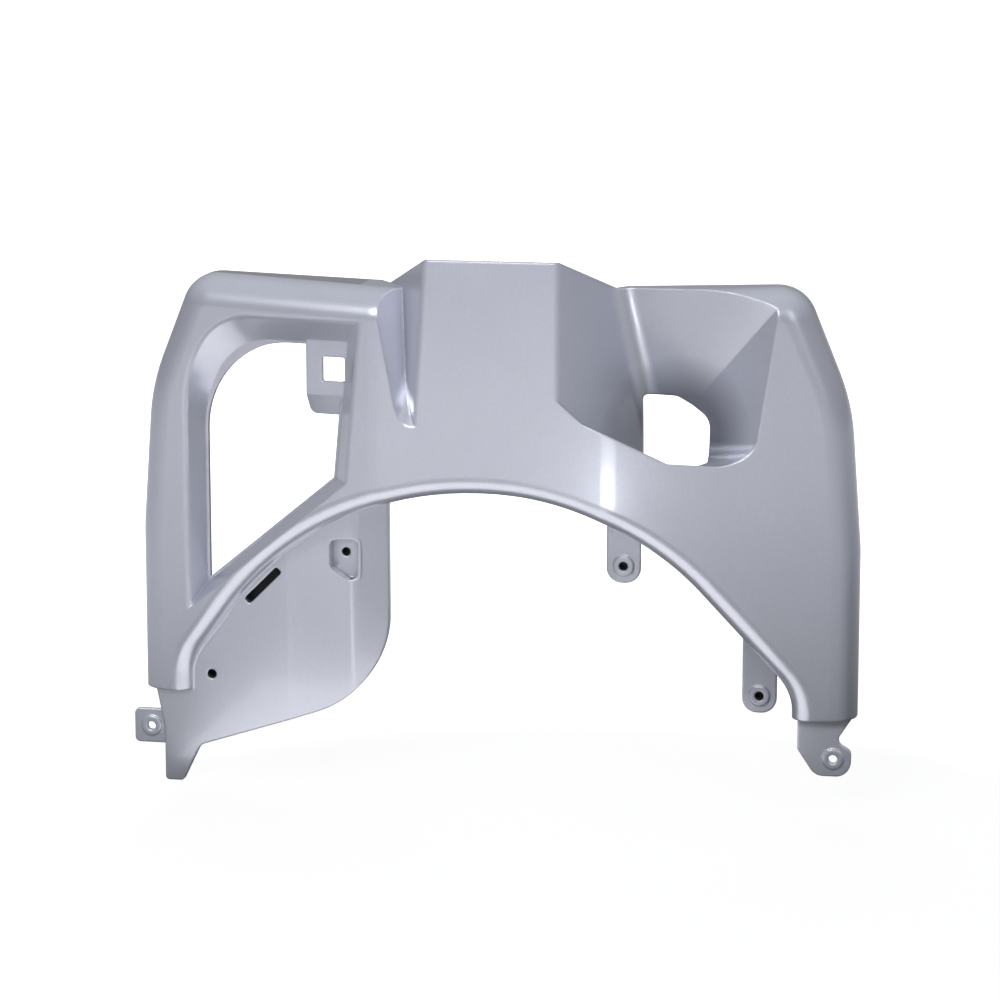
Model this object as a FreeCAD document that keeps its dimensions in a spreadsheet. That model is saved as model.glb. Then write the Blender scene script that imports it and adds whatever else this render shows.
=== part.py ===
"""Inner leg-shield panel of a scooter: one thin-walled moulding, drawn as an outer and an inner skin.

X runs to the right, Y away from the rider and Z up. The origin lies midway between the two lower
screw holes, on the front of their ears.
"""
import math
import os
from types import SimpleNamespace

import FreeCAD
import Part
import Sketcher

Vector = FreeCAD.Vector
Rotation = FreeCAD.Rotation
Placement = FreeCAD.Placement

# Driving dimensions in millimetres, angles in degrees, slopes as ratios
SIZES = [
    ("wall", 2.8, "wall of the moulding"),
    ("build_depth", 100, "depth of the working solid behind the front"),
    ("flange_depth", 56, "how far the side and arch walls reach back"),
    ("half_base", 266, "half width from the feet to the waist"),
    ("outline_shift", -6, "how far the outline sits to the right of the spine's middle"),
    ("waist_height", 175, "height where the sides start to lean in"),
    ("half_shoulder", 258, "half width at the shoulders"),
    ("shoulder_height", 280, "height of the shoulders"),
    ("half_top", 223, "half width at the top corners"),
    ("wing_top", 365, "height of the wings"),
    ("middle_top", 357, "height of the top edge's line in the middle"),
    ("middle_round", 600, "rounding of that line in the middle"),
    ("side_round", 150, "rounding of the outline at waist and shoulder"),
    ("corner_round", 28, "rounding of the top corners"),
    ("edge_round", 22, "rounding from the front to the sides and top"),
    ("crease_half", 85, "half width of the flat middle"),
    ("crease_round", 60, "rounding of the crease beside the flat middle"),
    ("wing_angle", 10.5, "turn of the wings at the crease"),
    ("arch_top", 213, "height of the arch"),
    ("arch_shift", -9, "how far the arch's crown sits to the right of the spine's middle"),
    ("crown_flat", 4, "flat at the arch's crown"),
    ("crown_left_share", 0.895, "radius of the arch's left half, as a share of half_base"),
    ("crown_right_share", 0.786, "radius of the arch's right half, as a share of half_base"),
    ("arch_angle_left", 54, "slope of the arch's left side"),
    ("arch_angle_right", 48, "slope of the arch's right side"),
    ("leg_left", 40, "width of the left leg"),
    ("leg_right", 46, "width of the right leg"),
    ("leg_round", 40, "rounding from the arch sides to the legs"),
    ("rim_round", 14, "rounding of the arch rim"),
    ("foot_height", 52, "height of the lower ends of the legs"),
    ("spine_half", 48, "half width of the spine's front"),
    ("spine_turn", 51, "turn of the spine's sides, which widen it with depth"),
    ("spine_tilt", 3, "tilt of the spine's left side, which widens it downwards"),
    ("spine_foot", 235, "height where the spine grows out of the front"),
    ("spine_top", 382.5, "height of the spine"),
    ("spine_cove", 18, "rounding between the spine and the back of the key recess"),
    ("spine_round", 6, "rounding of the spine's front edges"),
    ("dip_half", 84, "half distance between the dips beside the spine"),
    ("dip_height", 359, "height of the dips"),
    ("dip_end", 138, "half distance to where the dips run out"),
    ("scoop_side", 85, "distance of the scoop's flank from the middle, at the front"),
    ("scoop_height", 352, "height where that distance is taken"),
    ("flank_turn", 33.5, "turn of the scoop's flank"),
    ("flank_tilt", 9, "tilt of the scoop's flank"),
    ("scoop_low", 262, "height of the scoop's lower end"),
    ("scoop_slope", 58, "slope of the scoop's floor"),
    ("scoop_round", 18, "rounding between the scoop's flank and floor"),
    ("pocket_right", 206, "right edge of the key recess, at its top"),
    ("pocket_edge_depth", 20.5, "depth of the wing at that edge"),
    ("pocket_top", 357, "height of the recess's top right corner"),
    ("back_turn", 12.7, "turn of the recess's back"),
    ("back_tilt", 14.8, "tilt of the recess's back"),
    ("wall_turn", 55, "turn of the recess's right wall"),
    ("wall_tilt", 6.2, "tilt of the recess's right wall"),
    ("pocket_round", 18, "rounding between the recess's right wall and floor"),
    ("pocket_floor", 239, "height of the recess's lip"),
    ("floor_depth", 12, "depth of the wing at that lip"),
    ("floor_tilt", 16.7, "fall of the recess's floor"),
    ("flare_height", 279, "height where the spine flares out to the lip"),
    ("flare_angle", 41, "slope of that flare"),
    ("lip_side", 70, "distance from the middle where the flare turns into the lip"),
    ("lip_height", 262.5, "height of the lip at that distance"),
    ("lip_angle", 22.8, "slope of the lip"),
    ("key_left", 100, "key hole, left edge"),
    ("key_right", 151, "key hole, right edge"),
    ("key_top", 281, "key hole, top"),
    ("key_low", 225, "key hole, lower end behind the lip"),
    ("key_fall", 14, "key hole, how far its top falls to the right"),
    ("key_round", 12, "key hole, rounding of its right corners"),
    ("box_right", 108, "glove box frame, distance of its lower right corner from the middle"),
    ("box_margin", 39, "glove box frame, distance of its left edge from the outline"),
    ("box_top", 336, "glove box frame, top"),
    ("box_low", 218, "glove box frame, height of its lower right corner"),
    ("box_corner", 68, "glove box frame, rounding of its top left corner"),
    ("box_recess", 18, "depth of the glove box frame"),
    ("box_ledge", 1.6, "ledge left around the glove box opening"),
    ("box_soft", 5, "rounding of the glove box frame's front edge"),
    ("side_slope", 23.5, "slope of the frame's left wall"),
    ("lock_slope", 40, "slope of the frame's right wall"),
    ("lock_lean", 5.5, "lean of the frame's right edge"),
    ("top_slope", 46, "slope of the frame's top wall"),
    ("sill_slope", 28, "slope of the frame's sill"),
    ("sill_angle", 39, "fall of the frame's sill to the left"),
    ("catch_left", 37, "lock catch, left edge along the wing"),
    ("catch_right", -6, "lock catch, right edge along the wing"),
    ("catch_low", 264, "lock catch, lower edge"),
    ("catch_high", 325, "lock catch, upper edge"),
    ("catch_depth", 13, "lock catch, depth"),
    ("catch_corner", 5, "lock catch, rounding of its corners"),
    ("catch_hole_side", 15.5, "lock catch hole, centre along the wing"),
    ("catch_hole_height", 298.5, "lock catch hole, centre height"),
    ("catch_hole_width", 18, "lock catch hole, width"),
    ("catch_hole_rise", 18, "lock catch hole, height"),
    ("catch_rise", 2, "lock catch, how far it stands proud of the frame's floor"),
    ("catch_bevel", 15, "lock catch, height of its sloping lower part"),
    ("catch_slope", 30, "lock catch, slope of that part"),
    ("ear_depth", 41, "depth of the ears and the left apron"),
    ("ear_inset", 10.5, "how much nearer the lower screw holes are to their middle than half_base"),
    ("ear_shift", -11.5, "how far the middle between those holes sits to the right of the spine's middle"),
    ("ear_height", 21.5, "height of the lower screw holes"),
    ("ear_half", 13, "half width of the ears"),
    ("tab_half", 12.5, "half width of the tabs"),
    ("ear_round", 11, "rounding of the ears"),
    ("tab_high_side", 90, "upper tab, distance to the right of the middle"),
    ("tab_high_height", 158, "upper tab, height of its hole"),
    ("tab_low_side", 190, "lower tab, distance to the right of the middle"),
    ("tab_low_height", 66, "lower tab, height of its hole"),
    ("apron_first_bend", 160, "apron, distance of its first bend from the middle"),
    ("apron_second_bend", 112, "apron, distance of its second bend from the middle"),
    ("apron_right", 87, "apron, distance of its right edge from the middle"),
    ("apron_step", 6, "apron, depth gained up to its second bend"),
    ("apron_return", 20, "apron, depth gained up to its right edge"),
    ("apron_bend_round", 16, "apron, rounding of its bends"),
    ("apron_low", 55, "apron, height of its lower right corner"),
    ("apron_corner", 75, "apron, rounding of that corner"),
    ("apron_heel", 43, "apron, distance of its lower left corner from the outline"),
    ("apron_heel_height", 9, "apron, height of that corner"),
    ("apron_toe", 16, "apron, distance of its toe from the outline"),
    ("apron_toe_width", 13.5, "apron, width of its toe"),
    ("apron_toe_height", -19, "apron, height of its toe"),
    ("apron_notch", 10, "apron, distance of its left edge from the outline"),
    ("slot_side", 179, "slot, distance of its centre from the middle"),
    ("slot_height", 133, "slot, height of its centre"),
    ("slot_length", 35, "slot length"),
    ("slot_width", 6, "slot width"),
    ("peg_side", 219, "locating hole, distance from the middle"),
    ("peg_height", 64, "locating hole, height"),
    ("peg_hole", 3.6, "locating hole radius"),
    ("seat_side", 119, "dished seat, distance from the middle"),
    ("seat_height", 158, "dished seat, height"),
    ("seat_half", 10, "dished seat, half width"),
    ("seat_above", 11, "dished seat, how far it reaches above its hole"),
    ("seat_below", 24, "dished seat, how far it reaches below its hole"),
    ("seat_round", 5, "dished seat, rounding of its corners"),
    ("seat_depth", 7, "dished seat depth"),
    ("rib", 2, "rib thickness"),
    ("rib_depth", 24, "how far the ribs reach back from the front"),
    ("rib_low", 262, "height of the lower rib across the spine"),
    ("rib_high", 318, "height of the upper rib across the spine"),
    ("rib_step", 52, "spacing of the ribs behind the arch"),
    ("screw_hole", 3.3, "screw hole radius"),
    ("collar_radius", 7.5, "radius of the raised ring at each screw hole"),
    ("collar_rise", 1.2, "height of that ring"),
]

# Reach of the working solids beyond the moulding
FRONT = -20
LOW = -60
HIGH = 430
SIDE = 330
BEYOND = 10
FAR = 600


class Size:
    """A number together with its formula in the sheet's names."""

    def __init__(self, text, value):
        self.text = text
        self.value = value

    def mix(self, other, sign, result):
        return Size("(%s %s %s)" % (self.text, sign, other.text), result)

    def __add__(self, other):
        other = as_size(other)
        return self.mix(other, "+", self.value + other.value)

    def __sub__(self, other):
        other = as_size(other)
        return self.mix(other, "-", self.value - other.value)

    def __mul__(self, other):
        other = as_size(other)
        return self.mix(other, "*", self.value * other.value)

    def __truediv__(self, other):
        other = as_size(other)
        return self.mix(other, "/", self.value / other.value)

    def __radd__(self, other):
        return as_size(other) + self

    def __rsub__(self, other):
        return as_size(other) - self

    def __rmul__(self, other):
        return as_size(other) * self

    def __rtruediv__(self, other):
        return as_size(other) / self

    def __neg__(self):
        return as_size(0) - self


def as_size(number):
    if isinstance(number, Size):
        return number
    return Size(str(number), float(number))


def cosine(angle):
    return Size("cos(%s)" % angle.text, math.cos(math.radians(angle.value)))


def sine(angle):
    return Size("sin(%s)" % angle.text, math.sin(math.radians(angle.value)))


def tangent(angle):
    return Size("tan(%s)" % angle.text, math.tan(math.radians(angle.value)))


doc = FreeCAD.newDocument("scooter_inner_panel")
sheet = doc.addObject("Spreadsheet::Sheet", "Sizes")
for row, (alias, value, note) in enumerate(SIZES, start=1):
    sheet.set("A%d" % row, note)
    sheet.set("B%d" % row, str(value))
    sheet.setAlias("B%d" % row, alias)
doc.recompute()
D = SimpleNamespace(**{alias: Size("Sizes." + alias, float(value)) for alias, value, note in SIZES})


def bind(made, prop, number):
    made.setExpression(prop, as_size(number).text)


def place(made, x, y, z, turn=Rotation()):
    """Put an object at a bound position, with a fixed turn."""
    made.Placement = Placement(Vector(), turn)
    for axis, number in zip("xyz", (x, y, z)):
        bind(made, "Placement.Base." + axis, number)


def make(kind, name, **sizes):
    """Document object with its sizes bound to the sheet."""
    made = doc.addObject(kind, name)
    for prop, number in sizes.items():
        bind(made, prop, number)
    return made


def cut(name, base, tool):
    made = doc.addObject("Part::Cut", name)
    made.Base = base
    made.Tool = tool
    doc.recompute()
    return made


def join(name, shapes):
    made = doc.addObject("Part::MultiFuse", name)
    made.Shapes = shapes
    made.Refine = True
    doc.recompute()
    return made


def overlap(name, shapes):
    made = doc.addObject("Part::MultiCommon", name)
    made.Shapes = shapes
    doc.recompute()
    return made


X, Y, Z = Vector(1, 0, 0), Vector(0, 1, 0), Vector(0, 0, 1)
UPRIGHT = Rotation(X, 90)
FACING = Rotation(X, -90)


def turned(*steps):
    """Rotation made of turns about given axes, the first one outermost."""
    whole = Rotation()
    for axis, angle in zip(steps[::2], steps[1::2]):
        whole = whole.multiply(Rotation(axis, angle.value))
    return whole


def block(name, spot, turn, **faces):
    """Box reaching far out on every side but the faces given in its own turned frame."""
    ends = {"Xmin": -FAR, "Xmax": FAR, "Ymin": -FAR, "Ymax": FAR, "Zmin": -FAR, "Zmax": FAR}
    ends.update(faces)
    made = make("Part::Wedge", name, X2min=ends["Xmin"], X2max=ends["Xmax"], Z2min=ends["Zmin"],
                Z2max=ends["Zmax"], **ends)
    place(made, *spot, turn)
    return made


def profile(name, corners, turn=UPRIGHT, closed=True):
    """Sketch through corners (x, y, rounding); a rounding of 0 leaves the corner sharp."""
    sketch = doc.addObject("Sketcher::SketchObject", name)
    sketch.Placement = Placement(Vector(), turn)
    corners = [tuple(as_size(number) for number in corner) for corner in corners]
    count = len(corners)
    spots = [Vector(x.value, y.value, 0) for x, y, radius in corners]
    bends = [bend(spots[i - 1], spots[i], spots[(i + 1) % count], corners[i][2].value) for i in range(count)]
    lines = []
    for i in range(count if closed else count - 1):
        line = Part.LineSegment(bends[i].leave, bends[(i + 1) % count].reach)
        lines.append(sketch.addGeometry(line))
    for i, (x, y, radius) in enumerate(corners):
        inner = closed or 0 < i < count - 1
        before, after = lines[i - 1], lines[i % len(lines)]
        point, end = after, 1
        if not closed and i == count - 1:
            point, end = before, 2
        elif inner and radius.value > 0:
            arc = sketch.addGeometry(bends[i].arc)
            near, far = bends[i].ends
            sketch.addConstraint(Sketcher.Constraint("Tangent", before, 2, arc, near))
            sketch.addConstraint(Sketcher.Constraint("Tangent", arc, far, after, 1))
            hold(sketch, Sketcher.Constraint("Radius", arc, radius.value), radius)
            point = sketch.addGeometry(Part.Point(spots[i]), True)
            sketch.addConstraint(Sketcher.Constraint("PointOnObject", point, 1, before))
            sketch.addConstraint(Sketcher.Constraint("PointOnObject", point, 1, after))
        elif inner:
            sketch.addConstraint(Sketcher.Constraint("Coincident", before, 2, after, 1))
        for axis, number, kind in ((-2, x, "DistanceX"), (-1, y, "DistanceY")):
            if number.value == 0:
                sketch.addConstraint(Sketcher.Constraint("PointOnObject", point, end, axis))
            else:
                hold(sketch, Sketcher.Constraint(kind, -1, 1, point, end, number.value), number)
    return sketch


def bend(last, here, following, radius):
    """Where a rounded corner is reached and left, its arc, and which end of the arc comes first."""
    to_last = (last - here).normalize()
    to_next = (following - here).normalize()
    half = to_last.getAngle(to_next) / 2
    back = radius / math.tan(half)
    reach = here + to_last * back
    leave = here + to_next * back
    if radius == 0:
        return SimpleNamespace(reach=reach, leave=leave)
    centre = here + (to_last + to_next).normalize() * (radius / math.sin(half))
    left_turn = to_last.cross(to_next).z < 0
    first, second = (reach, leave) if left_turn else (leave, reach)
    angles = [math.atan2(point.y - centre.y, point.x - centre.x) for point in (first, second)]
    arc = Part.ArcOfCircle(Part.Circle(centre, Vector(0, 0, 1), radius), *angles)
    return SimpleNamespace(reach=reach, leave=leave, arc=arc, ends=(1, 2) if left_turn else (2, 1))


def hold(sketch, constraint, number):
    index = sketch.addConstraint(constraint)
    sketch.setExpression("Constraints[%d]" % index, number.text)


def offset(name, source, step):
    """Sketch outline moved outwards by a step, with its corners kept."""
    made = make("Part::Offset2D", name, Value=step)
    made.Source = source
    made.Join = "Intersection"
    return made


def prism(name, source, length, ahead=0, turn=UPRIGHT):
    """Prism from a sketch into its depth, starting some way ahead of it."""
    made = make("Part::Extrusion", name, LengthFwd=length, LengthRev=ahead)
    made.Base = source
    made.DirMode = "Custom"
    made.Dir = turn.multVec(Vector(0, 0, -1))
    made.Solid = True
    return made


def through(name, source):
    """Prism from a sketch right through the moulding."""
    return prism(name, source, D.build_depth + 2 * BEYOND, -FRONT)


def middle_of(edge):
    return edge.valueAt((edge.FirstParameter + edge.LastParameter) / 2)


def edges_on(shape, wall, deepest):
    """Edges of a shape that lie on a wall's surface, in front of a depth, and run across it."""
    surface = wall.Shape.Shells[0]
    found = []
    for index, edge in enumerate(shape.Edges, start=1):
        span = edge.LastParameter - edge.FirstParameter
        points = [edge.valueAt(edge.FirstParameter + span * part / 4) for part in range(5)]
        if max(point.y for point in points) > deepest:
            continue
        if any(surface.distToShape(Part.Vertex(point))[0] > 0.02 for point in points):
            continue
        if max(point.z for point in points) > LOW + 1:
            found.append(index)
    return found


def shared_edges(shape, first, second):
    """Edges of a shape that lie on the surfaces of two tools."""
    return sorted(set(edges_on(shape, first, FAR)) & set(edges_on(shape, second, FAR)))


def rounded(name, base, indexes, radius):
    made = doc.addObject("Part::Fillet", name)
    made.Base = base
    made.Edges = [(index, radius.value, radius.value) for index in indexes]
    doc.recompute()
    return made


# Outlines in front view
def outline_corner(half, height, rounding, way):
    return (way * half + D.outline_shift, height, rounding)


outline = profile("outline", [
    outline_corner(D.half_base, LOW - BEYOND, 0, 1),
    outline_corner(D.half_base, D.waist_height, D.side_round, 1),
    outline_corner(D.half_shoulder, D.shoulder_height, D.side_round, 1),
    outline_corner(D.half_top, D.wing_top, D.corner_round, 1),
    (0, D.middle_top, D.middle_round),
    outline_corner(D.half_top, D.wing_top, D.corner_round, -1),
    outline_corner(D.half_shoulder, D.shoulder_height, D.side_round, -1),
    outline_corner(D.half_base, D.waist_height, D.side_round, -1),
    outline_corner(D.half_base, LOW - BEYOND, 0, -1),
])
left_edge = D.outline_shift - D.half_base
right_edge = D.outline_shift + D.half_base


def arch_side(way, leg_x, share, angle):
    """Knee and crown corner of one side of the arch."""
    radius = share * D.half_base
    crown_x = D.arch_shift + way * (D.crown_flat / 2 + radius * tangent(angle / 2))
    knee_height = D.arch_top - way * (leg_x - crown_x) * tangent(angle)
    return (leg_x, knee_height, D.leg_round), (crown_x, D.arch_top, radius)


left_knee, left_crown = arch_side(-1, left_edge + D.leg_left, D.crown_left_share, D.arch_angle_left)
right_knee, right_crown = arch_side(1, right_edge - D.leg_right, D.crown_right_share, D.arch_angle_right)
arch = profile("arch", [
    right_crown,
    right_knee,
    (right_edge - D.leg_right, LOW - BEYOND, 0),
    (left_edge + D.leg_left, LOW - BEYOND, 0),
    left_knee,
    left_crown,
])
crest = profile("crest", [
    (-D.dip_end, LOW, 0),
    (-D.dip_end, D.dip_height - D.edge_round, 0),
    (-D.dip_half, D.dip_height, 0),
    (-D.spine_half, D.spine_top, 0),
    (D.spine_half, D.spine_top, 0),
    (D.dip_half, D.dip_height, 0),
    (D.dip_end, D.dip_height - D.edge_round, 0),
    (D.dip_end, LOW, 0),
])
doc.recompute()


frame_turn = Rotation(Z, -D.wing_angle.value)
frame_spot = (-D.box_right, (D.box_right - D.crease_half) * tangent(D.wing_angle), 0)
frame_width = (-D.box_right - left_edge - D.box_margin) / cosine(D.wing_angle)


def frame_well(name, depth, inset, straight=False):
    """Room of the glove box frame: four walls that close in with depth, or stand straight where they end."""
    walls = [
        # name, place along the wing, height, lean, turn to its slope, slope, face towards the room, its sign
        ("lock", 0, D.box_low, D.lock_lean, turned(Z, D.lock_slope), D.lock_slope, "Xmin", 1),
        ("top", 0, D.box_top, as_size(0), turned(X, -D.top_slope), D.top_slope, "Zmin", 1),
        ("side", -frame_width, D.box_top, as_size(0), turned(Z, -D.side_slope), D.side_slope, "Xmax", -1),
        ("sill", 0, D.box_low, -D.sill_angle, turned(X, D.sill_slope), D.sill_slope, "Zmax", -1),
    ]
    x, y, z = frame_spot
    room = block(name + "_room", frame_spot, frame_turn, Ymin=FRONT, Ymax=depth)
    made = {}
    for label, along, height, lean, closing, slope, face, way in walls:
        spot = (x + along * cosine(D.wing_angle), y - along * sine(D.wing_angle), height)
        turn = frame_turn.multiply(turned(Y, lean))
        step = -(D.box_recess * tangent(slope) + D.box_ledge)
        if not straight:
            turn = turn.multiply(closing)
            step = inset
        made[label] = block(name + "_" + label, spot, turn, **{face: way * step})
        doc.recompute()
        room = cut(name + "_by_" + label, room, made[label])
    corner = shared_edges(room.Shape, made["top"], made["side"])
    return rounded(name, room, corner, D.box_corner + inset), made["sill"]


def skin(tag, inset):
    """Working solid whose surface is one skin of the moulding, moved into the material by an inset."""
    inset = as_size(inset)
    inner = inset.value > 0
    depth = D.build_depth + (BEYOND if inner else 0)

    def name(text):
        return text + "_" + tag

    # Bent front: a flat middle and two wings turned back
    slab = make("Part::Box", name("slab"), Length=2 * SIDE, Width=depth - inset, Height=HIGH - LOW)
    place(slab, -SIDE, inset, LOW)
    wings = []
    for side, way in (("left", -1), ("right", 1)):
        wings.append(block(name("wing_" + side), (way * D.crease_half, 0, 0), turned(Z, way * D.wing_angle),
                           Ymin=inset))
    front = overlap(name("front"), [slab] + wings)
    creases = []
    for index, edge in enumerate(front.Shape.Edges, start=1):
        spot = middle_of(edge)
        if spot.y < inset.value + 1 and abs(spot.z - (HIGH + LOW) / 2) < 1:
            creases.append(index)
    front = rounded(name("front_creased"), front, creases, D.crease_round - inset)

    # Outline and arch with their rounded edges
    border = outline
    mouth = arch
    if inner:
        border = offset(name("outline"), outline, -inset)
        mouth = offset(name("arch"), arch, inset)
    border = through(name("border"), border)
    mouth = through(name("mouth"), mouth)
    doc.recompute()
    plate = overlap(name("plate"), [front, border])
    plate = cut(name("arched"), plate, mouth)
    rim = edges_on(plate.Shape, mouth, D.flange_depth.value)
    plate = rounded(name("rimmed"), plate, rim, D.rim_round - inset)
    edge = edges_on(plate.Shape, border, D.flange_depth.value)
    plate = rounded(name("edged"), plate, edge, D.edge_round - inset)
    ground = block(name("ground"), (0, 0, D.foot_height), Rotation(), Zmax=inset)
    plate = cut(name("footed"), plate, ground)

    # Spine with its rounded front edges, widening with depth
    spine = block(name("spine_room"), (0, 0, D.spine_foot), Rotation(), Ymin=inset, Ymax=depth, Zmin=inset)
    left_spot, left_turn = (-D.spine_half, 0, D.spine_top), turned(Z, 90 - D.spine_turn, Y, D.spine_tilt)
    right_spot, right_turn = (D.spine_half, 0, D.spine_top), turned(Z, D.spine_turn - 90)
    spine_left = block(name("spine_left"), left_spot, left_turn, Xmax=inset)
    spine_right = block(name("spine_right"), right_spot, right_turn, Xmin=-inset)
    doc.recompute()
    spine = cut(name("spine_left_cut"), spine, spine_left)
    wedge = cut(name("spine_wedge"), spine, spine_right)
    fronts = []
    for index, edge in enumerate(wedge.Shape.Edges, start=1):
        low, high = sorted(edge.Vertexes, key=lambda vertex: vertex.Z)
        if low.Y < inset.value + 1 and high.Y < inset.value + 1 and high.Z - low.Z > 1:
            fronts.append(index)
    spine = rounded(name("spine"), wedge, fronts, D.spine_round - inset)

    # Scoop to the left of the spine: a leaning flank above a sloping floor
    scoop = block(name("scoop_room"), (0, 0, 0), Rotation(), Xmax=0.7 * D.spine_half, Ymin=FRONT,
                  Ymax=D.flange_depth, Zmin=D.spine_foot)
    flank = block(name("flank"), (-D.scoop_side, 0, D.scoop_height),
                  turned(Z, -D.flank_turn, Y, -D.flank_tilt), Xmax=-inset)
    slope = block(name("slope"), (0, 0, D.scoop_low), turned(X, D.scoop_slope), Zmax=-inset)
    doc.recompute()
    scoop = cut(name("scoop_flanked"), scoop, flank)
    scoop = cut(name("scoop_sloped"), scoop, slope)
    corner = shared_edges(scoop.Shape, flank, slope)
    scoop = rounded(name("scoop"), scoop, corner, D.scoop_round + inset)

    # Key recess to the right of the spine: back, right wall, floor and the spine's flare
    recess = block(name("recess_room"), (0, 0, 0), Rotation(), Xmin=0, Ymin=FRONT,
                   Zmin=D.spine_foot - 2 * D.edge_round)
    corner_spot = (D.pocket_right, D.pocket_edge_depth, D.pocket_top)
    back = block(name("back"), corner_spot, turned(Z, -D.back_turn, X, D.back_tilt), Ymin=inset)
    wall = block(name("wall"), corner_spot, turned(Z, D.wall_turn, Y, D.wall_tilt), Xmin=inset)
    floor = block(name("floor"), (0, D.floor_depth, D.pocket_floor), turned(X, -D.floor_tilt), Zmax=-inset)
    flare = block(name("flare"), (D.spine_half, D.floor_depth, D.flare_height),
                  turned(Y, D.flare_angle, X, -D.floor_tilt), Zmax=-inset)
    lip = block(name("lip"), (D.lip_side, D.floor_depth, D.lip_height),
                turned(Y, D.lip_angle, X, -D.floor_tilt), Zmax=-inset)
    doc.recompute()
    recess = cut(name("recess_backed"), recess, back)
    recess = cut(name("recess_walled"), recess, wall)
    recess = cut(name("recess_floored"), recess, floor)
    corner = shared_edges(recess.Shape, wall, floor)
    recess = rounded(name("recess_rounded"), recess, corner, D.pocket_round + inset)
    in_spine = overlap(name("recess_in_spine"), [recess, wedge])
    recess = overlap(name("recess_spined"), [recess, spine_right])
    corner = shared_edges(recess.Shape, back, spine_right)
    recess = rounded(name("recess_coved"), recess, corner, D.spine_cove + inset)
    recess = join(name("recess_whole"), [recess, in_spine])
    recess = cut(name("recess"), recess, join(name("lips"), [flare, lip]))

    # Glove box frame in the left wing, with a soft front edge
    well, sill = frame_well(name("well"), D.box_recess + inset, inset)
    solid = cut(name("scooped"), plate, scoop)
    solid = cut(name("recessed"), solid, recess)
    solid = cut(name("welled"), solid, well)
    if not inner:
        rim = set(shared_edges(solid.Shape, well, wings[0])) - set(edges_on(solid.Shape, sill, FAR))
        solid = rounded(name("softened"), solid, sorted(rim), D.box_soft)
        spine = overlap(name("spine_crested"), [spine, through(name("crest"), crest)])
    solid = join(name("skin"), [solid, spine])
    return SimpleNamespace(solid=solid, recess=recess, keeps=[floor, flare, lip], spine=spine, mouth=mouth)


outside = skin("outside", 0)
inside = skin("inside", D.wall)

# Ribs on the hidden side, across the spine and behind the arch, are left standing in the hollow
ribs = []
for number, height in enumerate((D.rib_low, D.rib_high), start=1):
    ribs.append(block("spine_rib_%d" % number, (0, 0, height), Rotation(), Ymax=D.rib_depth, Zmin=0,
                      Zmax=D.rib))
spine_ribs = overlap("spine_ribs", [join("spine_rib_set", ribs), outside.spine])
arch_ribs = []
for number, way in enumerate((-1, 0, 1), start=1):
    arch_ribs.append(block("arch_rib_%d" % number, (way * D.rib_step - D.rib / 2, 0, 0), Rotation(), Xmin=0,
                           Xmax=D.rib, Ymax=D.rib_depth, Zmax=D.rib_low))
hollow = cut("hollow", inside.solid, join("ribs", [spine_ribs] + arch_ribs))
shell = cut("shell", outside.solid, hollow)

# The side walls end at one depth; only the key recess reaches further back
rear = block("rear", (0, D.flange_depth, 0), Rotation(), Ymin=0)
rear = cut("rear_but_recess", rear, inside.recess)
shell = cut("shell_trimmed", shell, rear)

# Openings: glove box and key
opening = frame_well("opening", D.build_depth, -D.box_ledge, straight=True)[0]
shell = cut("shell_opened", shell, opening)
key = profile("key_outline", [
    (D.key_left, D.key_low, 0),
    (D.key_right, D.key_low, 0),
    (D.key_right, D.key_top - D.key_fall, D.key_round),
    ((D.key_left + D.key_right) / 2, D.key_top, D.key_round),
    (D.key_left, D.key_top, D.key_round / 3),
])
bind(key, "Placement.Base.y", D.floor_depth + D.edge_round)
key = prism("key_room", key, D.build_depth)
key = cut("key_tool", key, join("key_keeps", outside.keeps))
shell = cut("shell_keyed", shell, key)


# Lock catch in the upper right corner of the glove box opening
def on_frame(name, corners):
    """Sketch in the plane of the glove box frame."""
    sketch = profile(name, corners, frame_turn.multiply(UPRIGHT))
    for axis, number in zip("xy", frame_spot):
        bind(sketch, "Placement.Base." + axis, number)
    return sketch


def from_frame(name, source, length, ahead=0):
    return prism(name, source, length, ahead, frame_turn.multiply(UPRIGHT))


def catch_bevel(name, inset):
    """Room in front of the catch's sloping lower part."""
    x, y, z = frame_spot
    depth = catch_face + inset / cosine(D.catch_slope)
    spot = (x + depth * sine(D.wing_angle), y + depth * cosine(D.wing_angle), D.catch_low + D.catch_bevel)
    return block(name, spot, frame_turn.multiply(turned(X, D.catch_slope)), Ymax=0)


catch_rim = on_frame("catch_rim", [
    (-D.catch_right, D.catch_low, 0),
    (-D.catch_right, D.catch_high, 0),
    (-D.catch_left, D.catch_high, 0),
    (-D.catch_left, D.catch_low, D.catch_corner),
])
catch_face = D.box_recess - D.catch_rise
catch = from_frame("catch_block", catch_rim, catch_face + D.catch_depth)
catch_front = from_frame("catch_front", offset("catch_wide", catch_rim, 1), catch_face)
catch_core = from_frame("catch_core", offset("catch_narrow", catch_rim, -D.wall), D.build_depth)
catch_skin = from_frame("catch_skin", catch_rim, catch_face + D.wall)
bevel = catch_bevel("catch_bevel", 0)
bevel_skin = catch_bevel("catch_bevel_skin", D.wall)
doc.recompute()
catch_core = cut("catch_hollow", catch_core, join("catch_skins", [catch_skin, bevel_skin]))
catch = cut("catch_shell", catch, catch_core)
catch = cut("catch", catch, join("catch_cuts", [catch_front, bevel]))
catch_hole = on_frame("catch_hole", [
    (-D.catch_hole_side + way * D.catch_hole_width / 2, D.catch_hole_height + up * D.catch_hole_rise / 2, 1.5)
    for way, up in ((-1, -1), (1, -1), (1, 1), (-1, 1))
])
catch_hole = from_frame("catch_hole_tool", catch_hole, D.build_depth)

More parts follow.
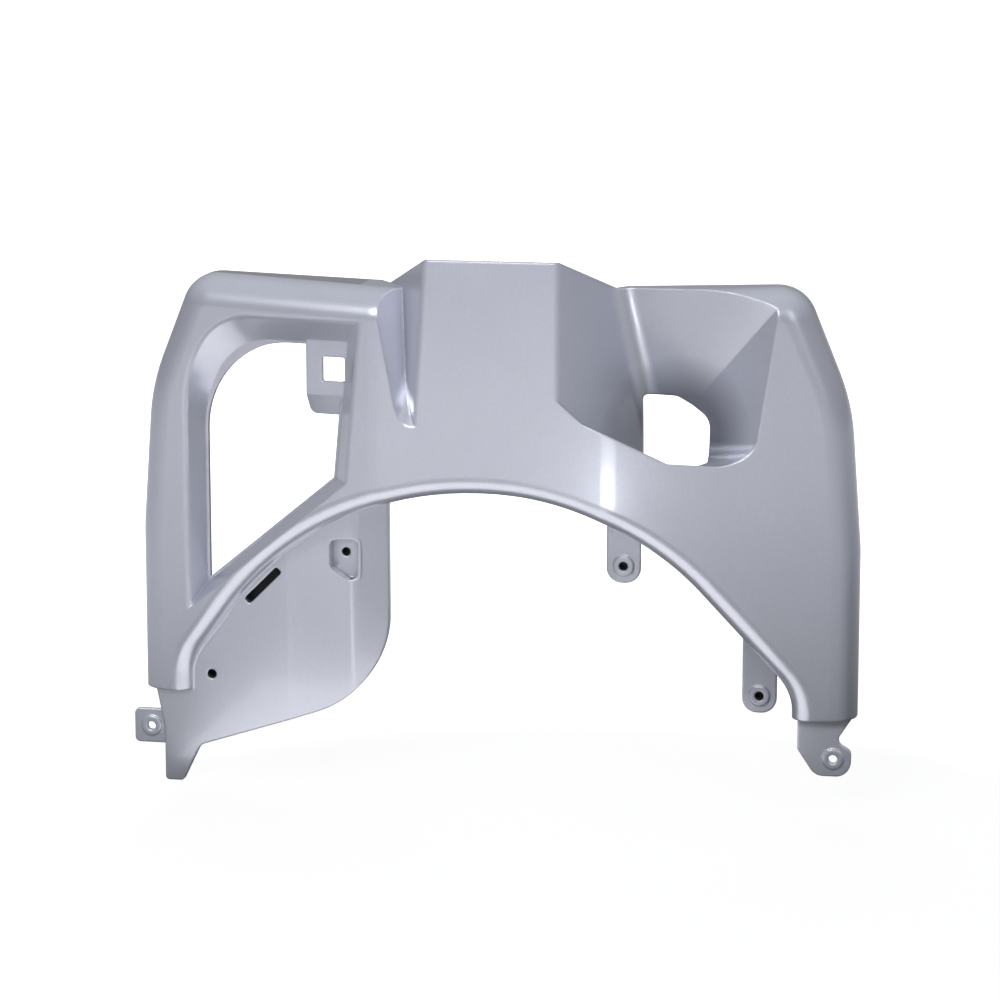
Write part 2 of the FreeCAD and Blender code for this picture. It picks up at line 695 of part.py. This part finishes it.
# Apron below the left half of the arch: a bent sheet cut to its outline
low = block("below_feet", (0, 0, D.foot_height), Rotation(), Zmax=D.wall)
under_arch = join("under_arch", [inside.mouth, low])
path = profile("apron_path", [
    (-SIDE, D.ear_depth, 0),
    (-D.apron_first_bend, D.ear_depth, D.apron_bend_round),
    (-D.apron_second_bend, D.ear_depth + D.apron_step, D.apron_bend_round),
    (-D.apron_right, D.ear_depth + D.apron_return, 0),
], Rotation(), closed=False)
bind(path, "Placement.Base.z", LOW)
sheet_plan = offset("apron_plan", path, D.wall)
sheet_plan.Fill = True
apron = prism("apron_sheet", sheet_plan, HIGH - LOW, 0, Rotation(X, 180))
apron_face = profile("apron_face", [
    (-D.apron_right - 1, HIGH, 0),
    (-D.apron_right - 1, D.apron_low, D.apron_corner),
    (left_edge + D.apron_heel, D.apron_heel_height, D.ear_round),
    (left_edge + D.apron_toe + D.apron_toe_width, D.apron_toe_height, 3),
    (left_edge + D.apron_toe, D.apron_toe_height, 3),
    (left_edge + D.apron_toe, D.ear_height, 0),
    (left_edge + D.apron_notch, D.foot_height, 0),
    (left_edge + D.apron_notch, HIGH, 0),
])
apron = overlap("apron", [apron, through("apron_outline", apron_face), under_arch])

# Screw ears at the feet and screw tabs under the right half of the arch
left_x = D.ear_shift - (D.half_base - D.ear_inset)
right_x = D.ear_shift + (D.half_base - D.ear_inset)
leg_x = right_edge - D.leg_right
ear_left = profile("ear_left", [
    (left_x - D.ear_half, D.ear_height + D.ear_half, 4),
    (left_x - D.ear_half, D.ear_height - D.ear_half, 4),
    (left_edge + D.apron_heel, D.ear_height - D.ear_half, 0),
    (left_edge + D.apron_heel, D.ear_height + D.ear_half, 0),
])
ear_right = profile("ear_right", [
    (leg_x, 2 * D.foot_height, 0),
    (D.half_base, 2 * D.foot_height, 0),
    (right_edge - D.wall, D.foot_height, 0),
    (right_x + 2, D.ear_height + D.ear_half, 5),
    (right_x + D.ear_half, D.ear_height + D.ear_half / 2, 5),
    (right_x + D.ear_half, D.ear_height - D.ear_half, D.ear_round),
    (right_x - D.ear_half, D.ear_height - D.ear_half, D.ear_round),
    (right_x - 2 * D.ear_half, D.ear_height + D.ear_half / 2, 5),
    (right_x - 2 * D.ear_half, D.foot_height, 0),
    (leg_x, D.foot_height, 0),
])
tab_sketches = []
spots = [(left_x, D.ear_height), (right_x, D.ear_height)]
for label, x, z in (("high", D.tab_high_side, D.tab_high_height), ("low", D.tab_low_side, D.tab_low_height)):
    tab_sketches.append(profile("tab_" + label, [
        (x - D.tab_half, D.arch_top + 2 * D.wall, 0),
        (x - D.tab_half, z - D.tab_half, D.ear_round),
        (x + D.tab_half, z - D.tab_half, D.ear_round),
        (x + D.tab_half, D.arch_top + 2 * D.wall, 0),
    ]))
    spots.append((x, z))
for sketch in [ear_left, ear_right] + tab_sketches:
    bind(sketch, "Placement.Base.y", D.ear_depth)
ear_plates = [prism("ear_plate_left", ear_left, D.wall), prism("ear_plate_right", ear_right, D.wall)]
tab_plates = [prism(sketch.Name + "_plate", sketch, D.wall) for sketch in tab_sketches]
ears = overlap("ears", [join("ear_plates", ear_plates), join("ear_room", [outside.solid, low])])
tabs = overlap("tabs", [join("tab_plates", tab_plates), inside.mouth])
collars = []
drills = []
for number, (x, z) in enumerate(spots, start=1):
    collar = make("Part::Cylinder", "collar_%d" % number, Radius=D.collar_radius,
                  Height=D.collar_rise + D.wall)
    place(collar, x, D.ear_depth - D.collar_rise, z, FACING)
    collars.append(collar)
    drill = make("Part::Cylinder", "drill_%d" % number, Radius=D.screw_hole, Height=4 * D.wall)
    place(drill, x, D.ear_depth - 2 * D.wall, z, FACING)
    drills.append(drill)

# Slot, locating hole and dished screw seat in the apron
slot = profile("slot", [
    (way * D.slot_length / 2, up * D.slot_width / 2, 2)
    for way, up in ((-1, -1), (1, -1), (1, 1), (-1, 1))
], UPRIGHT.multiply(Rotation(Z, 45)))
bind(slot, "Placement.Base.x", -D.slot_side)
bind(slot, "Placement.Base.z", D.slot_height)
drills.append(through("slot_tool", slot))
peg = make("Part::Cylinder", "peg_tool", Radius=D.peg_hole, Height=D.build_depth)
place(peg, -D.peg_side, 0, D.peg_height, FACING)
drills.append(peg)
seat_front = D.ear_depth + D.apron_step / 2
seat_rim = profile("seat_rim", [
    (D.seat_half - D.seat_side, D.seat_height - D.seat_below, D.seat_round),
    (D.seat_half - D.seat_side, D.seat_height + D.seat_above, D.seat_round),
    (-D.seat_half - D.seat_side, D.seat_height + D.seat_above, D.seat_round),
    (-D.seat_half - D.seat_side, D.seat_height - D.seat_half, D.seat_round),
])
bind(seat_rim, "Placement.Base.y", seat_front + D.wall / 2)
seat = prism("seat_tower", offset("seat_wide", seat_rim, D.wall), D.seat_depth + D.wall)
dish = prism("dish_tool", seat_rim, D.seat_depth, 2 * D.wall)
pilot = make("Part::Cylinder", "pilot_tool", Radius=D.screw_hole, Height=D.build_depth)
place(pilot, -D.seat_side, D.ear_depth, D.seat_height, FACING)
drills += [dish, pilot]

joined = join("joined", [shell, catch, apron, ears, tabs, seat] + collars)
panel = cut("panel", joined, join("drills", drills + [catch_hole]))
panel.Label = "inner_panel"
place(panel, -D.ear_shift, -D.ear_depth, -D.ear_height)
doc.recompute()

for made in doc.Objects:
    if "Invalid" in made.State or "Error" in made.State:
        raise RuntimeError("failed: " + made.Name)
if not panel.Shape.isValid() or len(panel.Shape.Solids) != 1:
    raise RuntimeError("the panel is not one sound solid")
os.makedirs("parts", exist_ok=True)
panel.Shape.exportStep("parts/inner_panel.step")
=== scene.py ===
"""Scooter inner panel in silver metallic paint, on a white studio floor."""
import math

import bmesh
import bpy
from mathutils import Matrix, Vector


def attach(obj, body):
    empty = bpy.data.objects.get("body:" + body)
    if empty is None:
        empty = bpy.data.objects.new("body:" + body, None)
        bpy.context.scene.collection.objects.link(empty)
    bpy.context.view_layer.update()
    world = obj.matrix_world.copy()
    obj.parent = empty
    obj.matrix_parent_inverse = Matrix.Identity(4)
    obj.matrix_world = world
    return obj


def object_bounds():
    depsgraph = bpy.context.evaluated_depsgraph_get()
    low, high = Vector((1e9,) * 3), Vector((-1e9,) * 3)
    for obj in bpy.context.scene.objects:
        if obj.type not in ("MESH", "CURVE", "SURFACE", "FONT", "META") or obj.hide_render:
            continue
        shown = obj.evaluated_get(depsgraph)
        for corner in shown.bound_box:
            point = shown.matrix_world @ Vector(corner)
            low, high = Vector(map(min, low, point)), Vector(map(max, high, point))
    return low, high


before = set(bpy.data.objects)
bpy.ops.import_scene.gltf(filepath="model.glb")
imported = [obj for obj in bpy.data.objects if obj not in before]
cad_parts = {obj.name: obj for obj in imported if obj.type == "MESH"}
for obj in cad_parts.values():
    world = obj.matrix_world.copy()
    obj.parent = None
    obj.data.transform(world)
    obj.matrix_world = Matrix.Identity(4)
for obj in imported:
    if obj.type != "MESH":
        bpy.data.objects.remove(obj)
cad_low, cad_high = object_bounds()
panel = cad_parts["inner_panel"]

# Camera, at the photo's angle
AZIMUTH = math.radians(11.0)
ELEVATION = math.radians(11.0)
DISTANCE = 2.6
SENSOR_WIDTH = 36.0
PIXELS_PER_METRE = 1380.0
IMAGE_SIZE = 1000.0
TARGET = Vector((0.0115, -0.006, 0.183))

# Colours of the panel: the paint, the dark tone that paints shade into it, its worn edges and the bare
# plastic
SILVER_DARK = (0.56, 0.575, 0.655, 1.0)
SILVER_LIGHT = (0.65, 0.665, 0.745, 1.0)
PAINTED_SHADE_TONE = (0.27, 0.28, 0.32, 1.0)
WORN = (0.74, 0.755, 0.80, 1.0)
BACK_DARK = (0.20, 0.20, 0.21, 1.0)
BACK_LIGHT = (0.30, 0.30, 0.32, 1.0)
# Near-black of the sockets: plastic darkened to stand in for the shade in the holes
SOCKET_SHADE_DARK = (0.045, 0.045, 0.05, 1.0)
SOCKET_SHADE_LIGHT = (0.085, 0.085, 0.092, 1.0)

# Finish of the paint and of the bare plastic
PAINT_METALLIC = 0.72
BACK_METALLIC = 0.05
PAINT_ROUGHNESS = (0.29, 0.33)
BACK_ROUGHER = 0.28
SOCKET_ROUGHNESS = (0.5, 0.65)
COAT_WEIGHT = 0.75
COAT_ROUGHNESS = 0.05
GLOSS_INDEX = 1.5
EDGE_RADIUS = 0.0022
FLAKE_SCALE = 1900.0

# Most of a noise's values lie between these two
NOISE_LOW = 0.3
NOISE_HIGH = 0.7

# Left wing: the direction into it, how far along that its frame's floor lies, and the wing's right end
WING_TURN = math.radians(10.5)
WING_INWARD = (math.sin(WING_TURN), math.cos(WING_TURN), 0.0)
FRAME_FLOOR = -0.0356
FRAME_FADE = 0.0004
WING_END = -0.085
WING_END_FADE = 0.005

# Key hole: its middle, and the distances from it at which the painted shade round it starts and is full
KEY_HOLE = (0.142, 0.008, 0.232)
HOLE_UNSHADED = 0.06
HOLE_FULL_SHADE = 0.03
RECESS_MOUTH = -0.028
RECESS_INSIDE = -0.012

# Right tabs and right side wall: where the shade painted on them starts and ends, and how dark it gets at
# most
TAB_LEFT = (0.07, 0.08)
TAB_FRONT = (-0.010, -0.004)
TAB_FOOT = (0.022, 0.026)
TAB_HEAD = (0.26, 0.12)
TAB_SHADE_MAX = 0.75

# Reach of the occlusion that paints shade into deep corners
SHADE_REACH = 0.07

# Floor: half its width, its spot of painted shade, the distances between which the painted shade fades, and
# its colours
FLOOR_HALF = 12.0
SHADED_SPOT = (0.12, -0.15, 0.0)
FADE_FROM = 0.35
FADE_TO = 1.1
FLOOR_SHADED = (0.15, 0.15, 0.15, 1.0)
FLOOR_DARK = (0.76, 0.76, 0.76, 1.0)
FLOOR_LIGHT = (0.80, 0.80, 0.80, 1.0)
FLOOR_ROUGHNESS = 0.8

# Glow of the floor that only the camera sees, weaker in the spot of painted shade and full outside it
GLOW_NEAR = 0.85
GLOW_FAR = 1.0

# Room light on the panel, at the horizon and overhead
ROOM_TINT = (0.93, 0.95, 1.0, 1.0)
ROOM_LOW = 0.24
ROOM_HIGH = 0.78
WHITE = (1.0, 1.0, 1.0, 1.0)

# Height above the floor of the lamps that lie on it
LAMP_LIFT = 0.004


class Material:
    """Small helper that adds nodes and links to one material."""

    def __init__(self, name):
        self.material = bpy.data.materials.new(name)
        self.material.use_nodes = True
        self.tree = self.material.node_tree
        self.shader = self.tree.nodes["Principled BSDF"]

    def add(self, kind, **settings):
        node = self.tree.nodes.new(kind)
        for key, value in settings.items():
            setattr(node, key, value)
        return node

    def feed(self, socket, value):
        """Link an output to a socket, or set the socket to a plain value."""
        if isinstance(value, bpy.types.NodeSocket):
            self.tree.links.new(value, socket)
        else:
            socket.default_value = value

    def set(self, name, value):
        """Feed an input of the shader."""
        self.feed(self.shader.inputs[name], value)

    def noise(self, coords, scale, detail=2.0, roughness=0.5):
        node = self.add("ShaderNodeTexNoise")
        self.feed(node.inputs["Vector"], coords)
        node.inputs["Scale"].default_value = scale
        node.inputs["Detail"].default_value = detail
        node.inputs["Roughness"].default_value = roughness
        return node.outputs["Fac"]

    def spread(self, value, low, high, to_low=0.0, to_high=1.0):
        """Value mapped from one range to another, clamped."""
        node = self.add("ShaderNodeMapRange")
        self.feed(node.inputs["Value"], value)
        for name, number in (("From Min", low), ("From Max", high), ("To Min", to_low), ("To Max", to_high)):
            node.inputs[name].default_value = number
        return node.outputs["Result"]

    def maths(self, operation, first, second=0.0):
        node = self.add("ShaderNodeMath", operation=operation)
        self.feed(node.inputs[0], first)
        self.feed(node.inputs[1], second)
        return node.outputs[0]

    def both(self, first, second):
        """Mask that is on where two masks are on."""
        return self.maths("MULTIPLY", first, second)

    def either(self, first, second):
        """Mask that is on where one of two masks is on."""
        return self.maths("MAXIMUM", first, second)

    def measure(self, operation, first, second):
        """Number from two vectors: their dot product or their distance."""
        node = self.add("ShaderNodeVectorMath", operation=operation)
        self.feed(node.inputs[0], first)
        self.feed(node.inputs[1], second)
        return node.outputs["Value"]

    def split(self, vector):
        node = self.add("ShaderNodeSeparateXYZ")
        self.feed(node.inputs[0], vector)
        return node.outputs

    def blend(self, factor, first, second):
        """Colour between two colours."""
        node = self.add("ShaderNodeMix", data_type="RGBA")
        self.feed(node.inputs["Factor"], factor)
        self.feed(node.inputs["A"], first)
        self.feed(node.inputs["B"], second)
        return node.outputs["Result"]

    def bump(self, height, strength, distance, normal=None):
        node = self.add("ShaderNodeBump")
        node.inputs["Strength"].default_value = strength
        node.inputs["Distance"].default_value = distance
        self.feed(node.inputs["Height"], height)
        if normal is not None:
            self.feed(node.inputs["Normal"], normal)
        return node.outputs["Normal"]


def worn_edges(paint, coords, soft_normal, normal):
    """Mask of patches along the edges, where the softened normal leaves the plain one."""
    edge = paint.spread(paint.measure("DOT_PRODUCT", soft_normal, normal), 0.99, 0.80)
    patches = paint.noise(coords, 70.0, 5.0, 0.65)
    return paint.both(edge, paint.spread(patches, 0.5, 0.7))


def bare_and_edge_shade(paint, coords, true_normal, mist):
    """Mask of the bare plastic: faces that look to the back, and the cut edge of the glove box opening, whose
    dark plastic also paints in the shade line along the opening.
    """
    drift = paint.spread(mist, NOISE_LOW, NOISE_HIGH, -0.3, 0.3)
    away = paint.maths("ADD", paint.split(true_normal)["Y"], drift)
    hidden = paint.spread(away, 0.15, 0.75)

    # The cut edge is square to the left wing and lies behind the frame's floor
    square = paint.measure("DOT_PRODUCT", true_normal, WING_INWARD)
    edge_on = paint.spread(paint.maths("ABSOLUTE", square), 0.06, 0.03)
    behind = paint.measure("DOT_PRODUCT", coords, WING_INWARD)
    deep = paint.spread(behind, FRAME_FLOOR, FRAME_FLOOR + FRAME_FADE)
    on_left = paint.spread(paint.split(coords)["X"], WING_END, WING_END - WING_END_FADE)
    return paint.either(hidden, paint.both(paint.both(deep, edge_on), on_left))


def painted_shade(paint, coords):
    """Mask of painted shade: deep corners, the key hole recess, and the right tabs and side wall, darker
    lower down.
    """
    place = paint.split(coords)
    # Painted shade in deep corners, from ambient occlusion
    occlusion = paint.add("ShaderNodeAmbientOcclusion", samples=6)
    occlusion.inputs["Distance"].default_value = SHADE_REACH
    corners = paint.spread(occlusion.outputs["AO"], 0.42, 0.10)

    # Painted shade in the recess round the key hole
    round_hole = paint.spread(paint.measure("DISTANCE", coords, KEY_HOLE), HOLE_UNSHADED, HOLE_FULL_SHADE)
    recess = paint.both(round_hole, paint.spread(place["Y"], RECESS_MOUTH, RECESS_INSIDE))

    # Painted shade on the right tabs and side wall, darker lower down
    beside = paint.both(paint.spread(place["X"], *TAB_LEFT), paint.spread(place["Y"], *TAB_FRONT))
    upright = paint.both(paint.spread(place["Z"], *TAB_FOOT),
                         paint.spread(place["Z"], *TAB_HEAD, 0.0, TAB_SHADE_MAX))
    return paint.either(paint.either(corners, recess), paint.both(beside, upright))


def silver_paint():
    """Silver metallic paint under clear coat, with shade painted into deep corners, the key recess and the
    lower right tabs; the hidden side is bare plastic with overspray.
    """
    paint = Material("silver_paint")
    coords = paint.add("ShaderNodeTexCoord").outputs["Object"]
    geometry = paint.add("ShaderNodeNewGeometry").outputs
    soft_edges = paint.add("ShaderNodeBevel", samples=6)
    soft_edges.inputs["Radius"].default_value = EDGE_RADIUS
    soft_normal = soft_edges.outputs["Normal"]
    mist = paint.noise(coords, 24.0, 4.0, 0.6)
    wear = worn_edges(paint, coords, soft_normal, geometry["Normal"])
    # The bare plastic mask also carries the painted shade line on the glove box opening's cut edge
    bare = bare_and_edge_shade(paint, coords, geometry["True Normal"], mist)

    # Colour: flakes and slow clouds in the silver
    flakes = paint.add("ShaderNodeTexVoronoi")
    paint.feed(flakes.inputs["Vector"], coords)
    flakes.inputs["Scale"].default_value = FLAKE_SCALE
    grain = paint.add("ShaderNodeSeparateColor")
    paint.feed(grain.inputs[0], flakes.outputs["Color"])
    clouds = paint.noise(coords, 9.0, 3.0)
    shade = paint.maths("ADD", paint.spread(grain.outputs[0], 0.0, 1.0, 0.0, 0.55),
                        paint.spread(clouds, NOISE_LOW, NOISE_HIGH, 0.0, 0.45))
    silver = paint.blend(shade, SILVER_DARK, SILVER_LIGHT)
    # Painted shade: the silver turns to a dark tone in corners, round the key hole and low on the right tabs
    silver = paint.blend(painted_shade(paint, coords), silver, PAINTED_SHADE_TONE)
    silver = paint.blend(wear, silver, WORN)
    plastic = paint.blend(mist, BACK_DARK, BACK_LIGHT)
    paint.set("Base Color", paint.blend(bare, silver, plastic))

    # Finish: glossy coat over the paint, none over the bare plastic
    satin = paint.spread(clouds, NOISE_LOW, NOISE_HIGH, *PAINT_ROUGHNESS)
    rougher = paint.spread(bare, 0.0, 1.0, 0.0, BACK_ROUGHER)
    paint.set("Roughness", paint.maths("ADD", satin, rougher))
    paint.set("Metallic", paint.spread(bare, 0.0, 1.0, PAINT_METALLIC, BACK_METALLIC))
    paint.set("Coat Weight", paint.spread(bare, 0.0, 1.0, COAT_WEIGHT, 0.0))
    paint.set("Coat Roughness", COAT_ROUGHNESS)
    paint.set("IOR", GLOSS_INDEX)

    # Relief: orange peel in the coat, flakes and peel in the paint
    peel = paint.noise(coords, 240.0, 2.0)
    coat_normal = paint.bump(peel, 0.10, 0.0004, soft_normal)
    paint.set("Coat Normal", coat_normal)
    paint.set("Normal", paint.bump(grain.outputs[1], 0.08, 0.0001, coat_normal))
    return paint.material


def socket_plastic_shade():
    """Near-black moulded plastic of the sockets, which also stands in for the shade inside the holes."""
    plastic = Material("socket_plastic_shade")
    coords = plastic.add("ShaderNodeTexCoord").outputs["Object"]
    cloud = plastic.noise(coords, 90.0, 4.0, 0.6)
    plastic.set("Base Color", plastic.blend(cloud, SOCKET_SHADE_DARK, SOCKET_SHADE_LIGHT))
    plastic.set("Roughness", plastic.spread(cloud, NOISE_LOW, NOISE_HIGH, *SOCKET_ROUGHNESS))
    grain = plastic.noise(coords, 1400.0, 2.0)
    plastic.set("Normal", plastic.bump(grain, 0.15, 0.0002))
    return plastic.material


panel.data.materials.clear()
panel.data.materials.append(silver_paint())

# Blind sockets behind the apron's slot and holes and behind the tabs, closed at the back; their near-black
# colour is partly painted shade in the holes
SOCKET_WALL = 0.0016
SOCKET_SOFT = 0.0008
PLATE_BACK = 0.0028
SEAT_BACK = 0.0142
ARC_STEPS = 14
SHARP_ANGLE = math.radians(35.0)
SOCKETS = [
    # name, centre, straight length, inner radius, depth, tilt
    ("slot_socket", (-0.1675, PLATE_BACK, 0.1115), 0.0295, 0.0034, 0.010, 45.0),
    ("peg_socket", (-0.2075, PLATE_BACK, 0.0425), 0.0, 0.0040, 0.009, 0.0),
    ("seat_socket", (-0.1075, SEAT_BACK, 0.1365), 0.0, 0.0036, 0.008, 0.0),
    ("high_tab_socket", (0.1015, PLATE_BACK, 0.1365), 0.0, 0.0036, 0.009, 0.0),
    ("low_tab_socket", (0.2015, PLATE_BACK, 0.0445), 0.0, 0.0036, 0.009, 0.0),
]


def socket(name, centre, straight, radius, depth, tilt):
    """Closed cup with a round or long rim at a plate's back and a softened outer back edge."""
    turned = math.radians(tilt)
    along = Vector((math.cos(turned), 0.0, math.sin(turned)))
    across = Vector((-math.sin(turned), 0.0, math.cos(turned)))
    back_end = depth + SOCKET_WALL
    rows = [
        (radius, depth),
        (radius, 0.0),
        (radius + SOCKET_WALL, 0.0),
        (radius + SOCKET_WALL, back_end - SOCKET_SOFT),
        (radius + SOCKET_WALL - SOCKET_SOFT, back_end),
    ]
    mesh = bmesh.new()
    rings = []
    for reach, distance in rows:
        ring = []
        for step in range(2 * ARC_STEPS):
            angle = math.pi * (step + 0.5) / ARC_STEPS - math.pi / 2
            end = 1 if step < ARC_STEPS else -1
            flat = along * (end * straight / 2 + reach * math.cos(angle)) + across * (reach * math.sin(angle))
            ring.append(mesh.verts.new(Vector(centre) + flat + Vector((0.0, distance, 0.0))))
        rings.append(ring)
    for first, second in zip(rings, rings[1:]):
        for here in range(len(first)):
            there = (here + 1) % len(first)
            mesh.faces.new((first[here], first[there], second[there], second[here]))
    mesh.faces.new(rings[0])
    mesh.faces.new(rings[-1])
    bmesh.ops.recalc_face_normals(mesh, faces=mesh.faces)
    data = bpy.data.meshes.new(name)
    mesh.to_mesh(data)
    mesh.free()
    data.shade_smooth()
    data.set_sharp_from_angle(angle=SHARP_ANGLE)
    made = bpy.data.objects.new(name, data)
    bpy.context.scene.collection.objects.link(made)
    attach(made, "root")
    return made


socket_shade_material = socket_plastic_shade()
for entry in SOCKETS:
    socket(*entry).data.materials.append(socket_shade_material)


def floor_material():
    """Paper with painted shade beside the panel, which dims its bounce and reflections on the panel's low
    parts, pale further out; the camera sees it as white.
    """
    paper = Material("floor_white")
    coords = paper.add("ShaderNodeTexCoord").outputs["Object"]
    away = paper.spread(paper.measure("DISTANCE", coords, SHADED_SPOT), FADE_FROM, FADE_TO)
    fibres = paper.noise(coords, 60.0, 4.0)
    pale = paper.blend(fibres, FLOOR_DARK, FLOOR_LIGHT)
    # Base colour: painted shade in the spot beside the panel, pale paper further out
    paper.set("Base Color", paper.blend(away, FLOOR_SHADED, pale))
    paper.set("Roughness", FLOOR_ROUGHNESS)
    seen = paper.add("ShaderNodeLightPath").outputs["Is Camera Ray"]
    glow = paper.spread(away, 0.0, 1.0, GLOW_NEAR, GLOW_FAR)
    paper.set("Emission Color", WHITE)
    paper.set("Emission Strength", paper.both(glow, seen))
    return paper.material


def plane(name, half, height):
    mesh = bpy.data.meshes.new(name)
    corners = [(-half, -half, 0.0), (half, -half, 0.0), (half, half, 0.0), (-half, half, 0.0)]
    mesh.from_pydata(corners, [], [(0, 1, 2, 3)])
    made = bpy.data.objects.new(name, mesh)
    made.location.z = height
    bpy.context.scene.collection.objects.link(made)
    return made


floor = plane("floor", FLOOR_HALF, cad_low.z)
floor.data.materials.append(floor_material())


def softbox(name, place, aim, size, power):
    """Rectangular lamp that the camera does not see."""
    light = bpy.data.lights.new(name, "AREA")
    light.shape = "RECTANGLE"
    light.size, light.size_y = size
    light.energy = power
    made = bpy.data.objects.new(name, light)
    bpy.context.scene.collection.objects.link(made)
    made.location = place
    made.rotation_euler = (Vector(aim) - Vector(place)).to_track_quat("-Z", "Y").to_euler()
    made.visible_camera = False
    return made


def floor_lamp(name, x, y, size, power):
    """Softbox that lies on the floor and shines up."""
    return softbox(name, (x, y, cad_low.z + LAMP_LIFT), (x, y, 1.0), size, power)


# Main light from the front, with a card for the right crease and a weak light from the right
softbox("window", (-0.3, -1.75, 1.1), (-0.1, -1.2, 0.0), (1.2, 0.6), 16.4)
softbox("card", (0.1023, -0.25, 0.159), (0.0965, 0.0, 0.205), (0.055, 0.025), 0.037)
softbox("side", (1.1, -1.0, 0.8), (0.1, 0.0, 0.3), (0.4, 0.7), 1.0)

# Floor lamps for the arch rim and for the apron's two bends
floor_lamp("bounce", -0.03, -0.18, (0.44, 0.26), 0.44)
floor_lamp("left_strip", -0.19, -0.55, (0.05, 0.5), 0.04)
floor_lamp("right_strip", 0.0, -0.55, (0.05, 0.5), 0.16)

# Light on the hidden side, which leaves no glare on the top edges
rear = softbox("rear", (-0.4, 1.5, 1.1), (0.0, 0.0, 0.15), (1.4, 1.0), 6.0)
rear.visible_glossy = False


def studio():
    """White surroundings for the camera, and a dim cool room as light on the panel."""
    world = bpy.data.worlds.new("studio")
    world.use_nodes = True
    nodes = world.node_tree.nodes
    links = world.node_tree.links
    room = nodes["Background"]
    room.inputs["Color"].default_value = ROOM_TINT
    direction = nodes.new("ShaderNodeTexCoord")
    height = nodes.new("ShaderNodeSeparateXYZ")
    links.new(direction.outputs["Generated"], height.inputs[0])
    level = nodes.new("ShaderNodeMapRange")
    level.inputs["To Min"].default_value = ROOM_LOW
    level.inputs["To Max"].default_value = ROOM_HIGH
    links.new(height.outputs["Z"], level.inputs["Value"])
    links.new(level.outputs["Result"], room.inputs["Strength"])
    white = nodes.new("ShaderNodeBackground")
    white.inputs["Color"].default_value = WHITE
    path = nodes.new("ShaderNodeLightPath")
    choose = nodes.new("ShaderNodeMixShader")
    links.new(path.outputs["Is Camera Ray"], choose.inputs["Fac"])
    links.new(room.outputs["Background"], choose.inputs[1])
    links.new(white.outputs["Background"], choose.inputs[2])
    links.new(choose.outputs["Shader"], nodes["World Output"].inputs["Surface"])
    return world


bpy.context.scene.world = studio()
bpy.context.scene.view_settings.view_transform = "Standard"


def photo_camera():
    """Camera that looks at the target from the photo's angle."""
    level = math.cos(ELEVATION)
    back = Vector((math.sin(AZIMUTH) * level, -math.cos(AZIMUTH) * level, math.sin(ELEVATION)))
    right = Vector((math.cos(AZIMUTH), math.sin(AZIMUTH), 0.0))
    camera = bpy.data.objects.new("camera", bpy.data.cameras.new("camera"))
    bpy.context.scene.collection.objects.link(camera)
    camera.data.sensor_width = SENSOR_WIDTH
    camera.data.lens = SENSOR_WIDTH * PIXELS_PER_METRE * DISTANCE / IMAGE_SIZE
    axes = Matrix((right, back.cross(right), back)).transposed().to_4x4()
    axes.translation = TARGET + back * DISTANCE
    camera.matrix_world = axes
    return camera


bpy.context.scene.camera = photo_camera()
